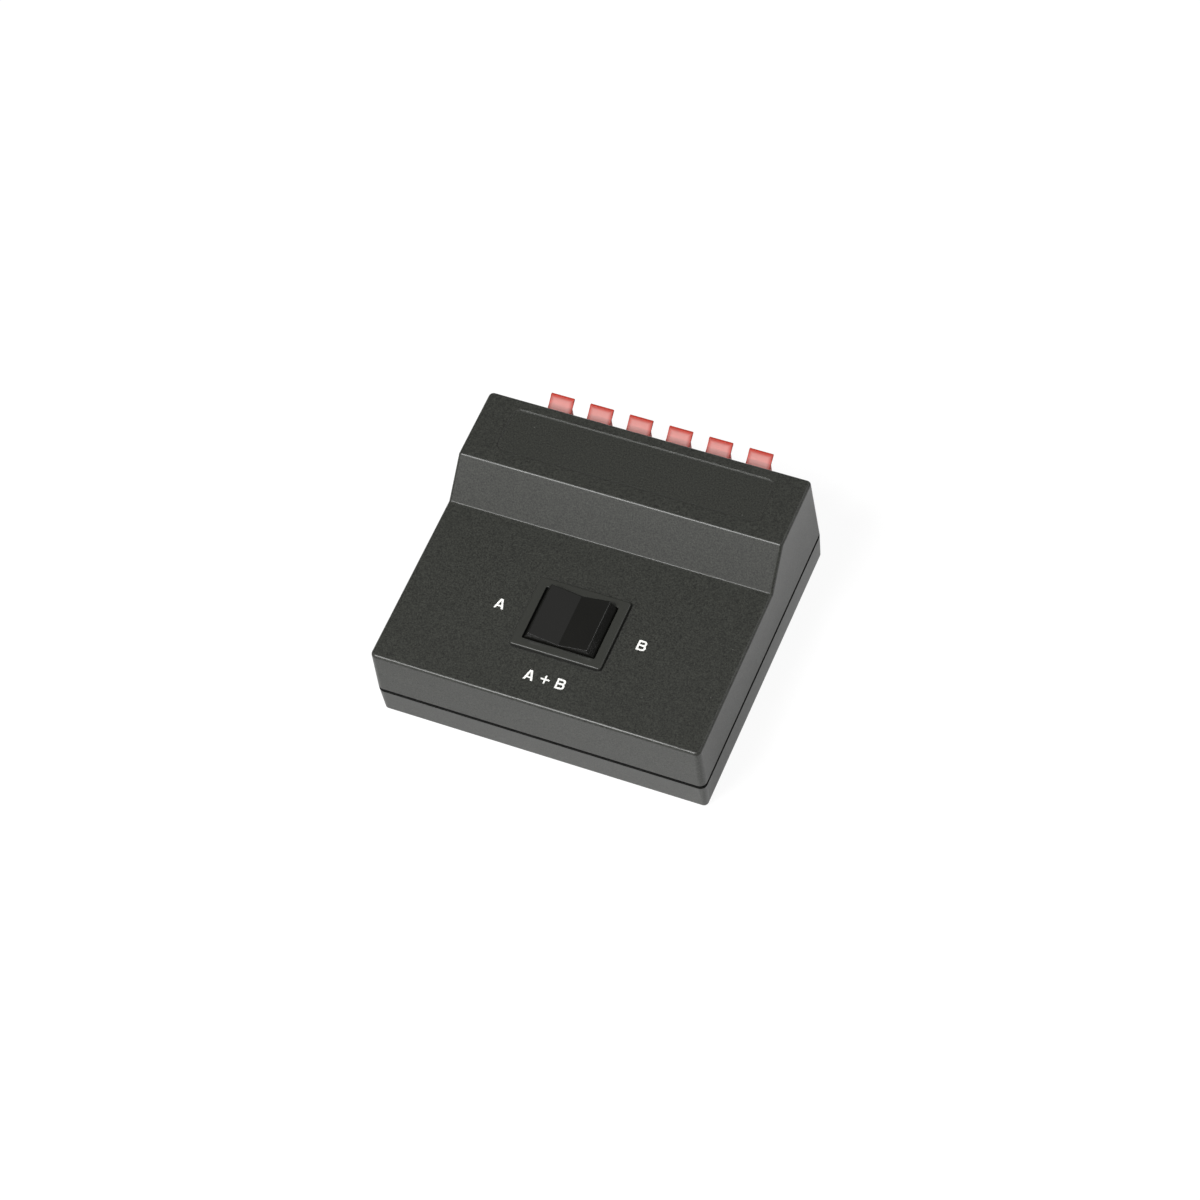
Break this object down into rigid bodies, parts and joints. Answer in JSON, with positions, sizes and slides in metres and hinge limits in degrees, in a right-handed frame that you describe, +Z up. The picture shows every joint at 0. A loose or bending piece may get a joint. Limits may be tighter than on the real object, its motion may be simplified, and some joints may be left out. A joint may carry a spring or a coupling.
{
  "type": "speaker selector switch",
  "caption": "Low desk-shaped box with a sloping riser, a three-position rocker on its deck, and two rows of sprung wire clamps with red and black levers along its back.",
  "frame": {"origin": "middle of the whole outline in plan, levers included, at the surface that the rubber feet stand on", "axes": "+X to the right as the user sees the deck, +Y to the back, where the wire clamps are, +Z up"},
  "size_m": [0.112, 0.1084, 0.0433],
  "materials": {
    "housing": "fine-grained dark grey ABS, matt",
    "switch_frame": "smooth dark grey thermoplastic, satin",
    "rocker_black": "black thermoplastic, semi-gloss",
    "block_black": "black thermoplastic, matt",
    "back_board": "brown phenolic board, matt",
    "lever_red": "translucent red polycarbonate, glossy",
    "lever_black": "black polycarbonate, glossy",
    "carriage_white": "natural acetal, satin",
    "bronze": "tinned phosphor bronze, satin",
    "brass": "brass, satin",
    "steel": "zinc-plated steel",
    "rubber": "black rubber, matt",
    "wire_red": "red PVC insulation, satin",
    "wire_white": "white PVC insulation, satin",
    "wire_black": "black PVC insulation, satin"
  },
  "bodies": {
    "housing": {"top_cover": "housing", "base_tray": "housing", "cover_screws": "steel", "rubber_feet": "rubber", "switch_body": "switch_frame", "switch_base": "block_black", "detent_spring": "bronze", "switch_lugs_a": "brass", "switch_lugs_common": "brass", "switch_lugs_b": "brass", "terminal_block": "block_black", "terminal_back_plate": "back_board", "terminal_block_screws": "steel", "back_plate_screws": "steel", "clamp_spring_black_1": "bronze", "clamp_spring_black_2": "bronze", "clamp_spring_black_3": "bronze", "clamp_spring_black_4": "bronze", "clamp_spring_black_5": "bronze", "clamp_spring_black_6": "bronze", "clamp_spring_red_1": "bronze", "clamp_spring_red_2": "bronze", "clamp_spring_red_3": "bronze", "clamp_spring_red_4": "bronze", "clamp_spring_red_5": "bronze", "clamp_spring_red_6": "bronze", "wire_a_left": "wire_white", "wire_amp_left": "wire_white", "wire_b_left": "wire_white", "wire_a_right": "wire_red", "wire_amp_right": "wire_red", "wire_b_right": "wire_red", "jumper_left_a": "wire_black", "jumper_left_b": "wire_black", "jumper_right_a": "wire_black", "jumper_right_b": "wire_black"},
    "rocker": {"rocker": "rocker_black"},
    "carriage": {"slide_carriage": "carriage_white", "contact_bridge_front": "brass", "contact_bridge_rear": "brass"},
    "lever_black_1": {"lever_black_1": "lever_black"},
    "lever_black_2": {"lever_black_2": "lever_black"},
    "lever_black_3": {"lever_black_3": "lever_black"},
    "lever_black_4": {"lever_black_4": "lever_black"},
    "lever_black_5": {"lever_black_5": "lever_black"},
    "lever_black_6": {"lever_black_6": "lever_black"},
    "lever_red_1": {"lever_red_1": "lever_red"},
    "lever_red_2": {"lever_red_2": "lever_red"},
    "lever_red_3": {"lever_red_3": "lever_red"},
    "lever_red_4": {"lever_red_4": "lever_red"},
    "lever_red_5": {"lever_red_5": "lever_red"},
    "lever_red_6": {"lever_red_6": "lever_red"}
  },
  "joints": [
    {"name": "rocker_tilt", "type": "hinge", "parent": "housing", "child": "rocker", "pos_m": [0, -0.02255, 0.03085], "axis": [0, 1, 0], "range_deg": [-11, 11]},
    {"name": "carriage_slide", "type": "slide", "parent": "housing", "child": "carriage", "axis": [1, 0, 0], "range_m": [-0.00178, 0.00178], "deforming": ["detent_spring"]},
    {"name": "press_black_1", "type": "hinge", "parent": "housing", "child": "lever_black_1", "pos_m": [-0.03438, 0.03755, 0.02251], "axis": [-1, 0, 0], "range_deg": [0, 9], "stiffness_Nm_per_rad": 0.2, "springref_deg": -5.73, "deforming": ["clamp_spring_black_1"]},
    {"name": "press_black_2", "type": "hinge", "parent": "housing", "child": "lever_black_2", "pos_m": [-0.02063, 0.03755, 0.02251], "axis": [-1, 0, 0], "range_deg": [0, 9], "stiffness_Nm_per_rad": 0.2, "springref_deg": -5.73, "deforming": ["clamp_spring_black_2"]},
    {"name": "press_black_3", "type": "hinge", "parent": "housing", "child": "lever_black_3", "pos_m": [-0.00688, 0.03755, 0.02251], "axis": [-1, 0, 0], "range_deg": [0, 9], "stiffness_Nm_per_rad": 0.2, "springref_deg": -5.73, "deforming": ["clamp_spring_black_3"]},
    {"name": "press_black_4", "type": "hinge", "parent": "housing", "child": "lever_black_4", "pos_m": [0.00688, 0.03755, 0.02251], "axis": [-1, 0, 0], "range_deg": [0, 9], "stiffness_Nm_per_rad": 0.2, "springref_deg": -5.73, "deforming": ["clamp_spring_black_4"]},
    {"name": "press_black_5", "type": "hinge", "parent": "housing", "child": "lever_black_5", "pos_m": [0.02063, 0.03755, 0.02251], "axis": [-1, 0, 0], "range_deg": [0, 9], "stiffness_Nm_per_rad": 0.2, "springref_deg": -5.73, "deforming": ["clamp_spring_black_5"]},
    {"name": "press_black_6", "type": "hinge", "parent": "housing", "child": "lever_black_6", "pos_m": [0.03438, 0.03755, 0.02251], "axis": [-1, 0, 0], "range_deg": [0, 9], "stiffness_Nm_per_rad": 0.2, "springref_deg": -5.73, "deforming": ["clamp_spring_black_6"]},
    {"name": "press_red_1", "type": "hinge", "parent": "housing", "child": "lever_red_1", "pos_m": [-0.03438, 0.03755, 0.03331], "axis": [-1, 0, 0], "range_deg": [0, 9], "stiffness_Nm_per_rad": 0.2, "springref_deg": -5.73, "deforming": ["clamp_spring_red_1"]},
    {"name": "press_red_2", "type": "hinge", "parent": "housing", "child": "lever_red_2", "pos_m": [-0.02063, 0.03755, 0.03331], "axis": [-1, 0, 0], "range_deg": [0, 9], "stiffness_Nm_per_rad": 0.2, "springref_deg": -5.73, "deforming": ["clamp_spring_red_2"]},
    {"name": "press_red_3", "type": "hinge", "parent": "housing", "child": "lever_red_3", "pos_m": [-0.00688, 0.03755, 0.03331], "axis": [-1, 0, 0], "range_deg": [0, 9], "stiffness_Nm_per_rad": 0.2, "springref_deg": -5.73, "deforming": ["clamp_spring_red_3"]},
    {"name": "press_red_4", "type": "hinge", "parent": "housing", "child": "lever_red_4", "pos_m": [0.00688, 0.03755, 0.03331], "axis": [-1, 0, 0], "range_deg": [0, 9], "stiffness_Nm_per_rad": 0.2, "springref_deg": -5.73, "deforming": ["clamp_spring_red_4"]},
    {"name": "press_red_5", "type": "hinge", "parent": "housing", "child": "lever_red_5", "pos_m": [0.02063, 0.03755, 0.03331], "axis": [-1, 0, 0], "range_deg": [0, 9], "stiffness_Nm_per_rad": 0.2, "springref_deg": -5.73, "deforming": ["clamp_spring_red_5"]},
    {"name": "press_red_6", "type": "hinge", "parent": "housing", "child": "lever_red_6", "pos_m": [0.03438, 0.03755, 0.03331], "axis": [-1, 0, 0], "range_deg": [0, 9], "stiffness_Nm_per_rad": 0.2, "springref_deg": -5.73, "deforming": ["clamp_spring_red_6"]}
  ],
  "couplings": [
    {"joint": "carriage_slide", "follows": "rocker_tilt", "m_per_rad": -0.0092}
  ]
}
